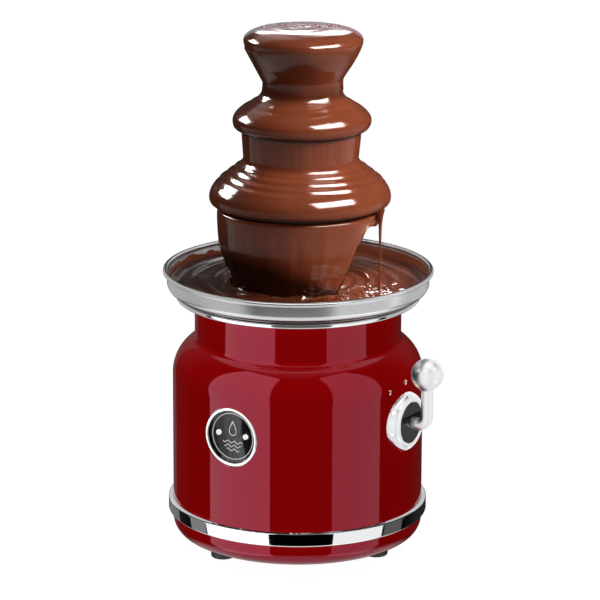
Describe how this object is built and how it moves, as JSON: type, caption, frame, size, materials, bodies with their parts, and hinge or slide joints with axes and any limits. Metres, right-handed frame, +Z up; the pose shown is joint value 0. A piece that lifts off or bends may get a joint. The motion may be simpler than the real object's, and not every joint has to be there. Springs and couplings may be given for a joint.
{
  "type": "chocolate fountain",
  "caption": "Chocolate fountain: round red housing with a steel bowl, a lift-off tiered tower under flowing chocolate, a geared auger drive and a lever selector on its side.",
  "frame": {"origin": "on the standing plane under the feet, on the axis of the tower and the auger", "axes": "+Z up along the auger, -Y to the front with the badge, +X to the side with the lever"},
  "size_m": [0.2239, 0.2006, 0.3935],
  "materials": {
    "red_gloss": "high gloss",
    "chrome_trim": "mirror polish",
    "ball_chrome": "satin polish",
    "bowl_steel": "satin",
    "black_plastic": "fine texture",
    "foot_rubber": "matte",
    "zinc_steel": "zinc plated",
    "stator_iron": "dull",
    "rotor_core": "varnished",
    "brass_parts": "machined",
    "gearbox_plastic": "moulded",
    "gear_plastic": "moulded",
    "seal_rubber": "silicone",
    "heater_cast": "cast",
    "heater_sheath": "oxidised",
    "ceramic": "ceramic",
    "lens_clear": "clear",
    "lamp_white": "diffuse",
    "board_green": "solder mask",
    "tower_plastic": "food grade, smooth",
    "chocolate": "wet gloss"
  },
  "bodies": {
    "base": {"upper_shell": "red_gloss", "lower_shell": "red_gloss", "trim_band": "chrome_trim", "bottom_cover": "black_plastic", "cover_screws": "zinc_steel", "base_screws": "zinc_steel", "foot_right": "foot_rubber", "foot_rear": "foot_rubber", "foot_front": "foot_rubber", "frame_pillars": "zinc_steel", "pillar_screws": "zinc_steel", "motor_plate": "zinc_steel", "motor_can": "zinc_steel", "motor_end_cap": "black_plastic", "motor_stator": "stator_iron", "motor_screws": "zinc_steel", "gearbox_housing": "gearbox_plastic", "gearbox_cover": "gearbox_plastic", "gearbox_screws": "zinc_steel", "thrust_bush": "brass_parts", "idler_pin": "zinc_steel", "bowl": "bowl_steel", "seat_ring": "chrome_trim", "shaft_bush": "brass_parts", "bush_nut": "brass_parts", "shaft_seal": "seal_rubber", "heater_plate": "heater_cast", "heater_tube": "heater_sheath", "thermostat": "ceramic", "thermal_fuse": "ceramic", "terminal_block": "gear_plastic", "cord_gland": "black_plastic", "badge_ring": "chrome_trim", "badge_face": "black_plastic", "badge_lens": "lens_clear", "badge_lamps": "lamp_white", "lamp_board": "board_green", "selector_bezel": "chrome_trim", "selector_dish": "black_plastic", "rotary_switch": "gear_plastic", "switch_nut": "brass_parts", "chocolate_pool": "chocolate"},
    "rotor": {"motor_rotor": "rotor_core", "motor_shaft": "zinc_steel", "motor_pinion": "brass_parts"},
    "idler": {"idler_gear": "gear_plastic"},
    "drive": {"output_gear": "gear_plastic", "drive_shaft": "zinc_steel", "auger_rod": "tower_plastic", "auger_flight": "tower_plastic"},
    "tower": {"tower_tube": "tower_plastic", "lower_tier": "tower_plastic", "middle_tier": "tower_plastic", "crown_cup": "tower_plastic", "chocolate_crown": "chocolate", "chocolate_middle": "chocolate", "chocolate_lower": "chocolate"},
    "lever": {"switch_spindle": "zinc_steel", "lever_arm": "chrome_trim", "lever_ball": "ball_chrome"}
  },
  "joints": [
    {"name": "auger_spin", "type": "hinge", "parent": "base", "child": "drive", "pos_m": [0, 0, 0.2], "axis": [0, 0, 1], "continuous": true},
    {"name": "idler_spin", "type": "hinge", "parent": "base", "child": "idler", "pos_m": [0, 0.03, 0.1], "axis": [0, 0, 1], "continuous": true},
    {"name": "rotor_spin", "type": "hinge", "parent": "base", "child": "rotor", "pos_m": [0.0145, 0.00489, 0.09], "axis": [0, 0, 1], "continuous": true},
    {"name": "tower_lift", "type": "slide", "parent": "base", "child": "tower", "axis": [0, 0, 1], "range_m": [0, 0.21]},
    {"name": "selector_turn", "type": "hinge", "parent": "base", "child": "lever", "pos_m": [0.1, 0, 0.1102], "axis": [1, 0, 0], "range_deg": [-38, 38]}
  ],
  "couplings": [
    {"joint": "idler_spin", "follows": "auger_spin", "ratio": -3.2857},
    {"joint": "rotor_spin", "follows": "auger_spin", "ratio": 10.327}
  ]
}
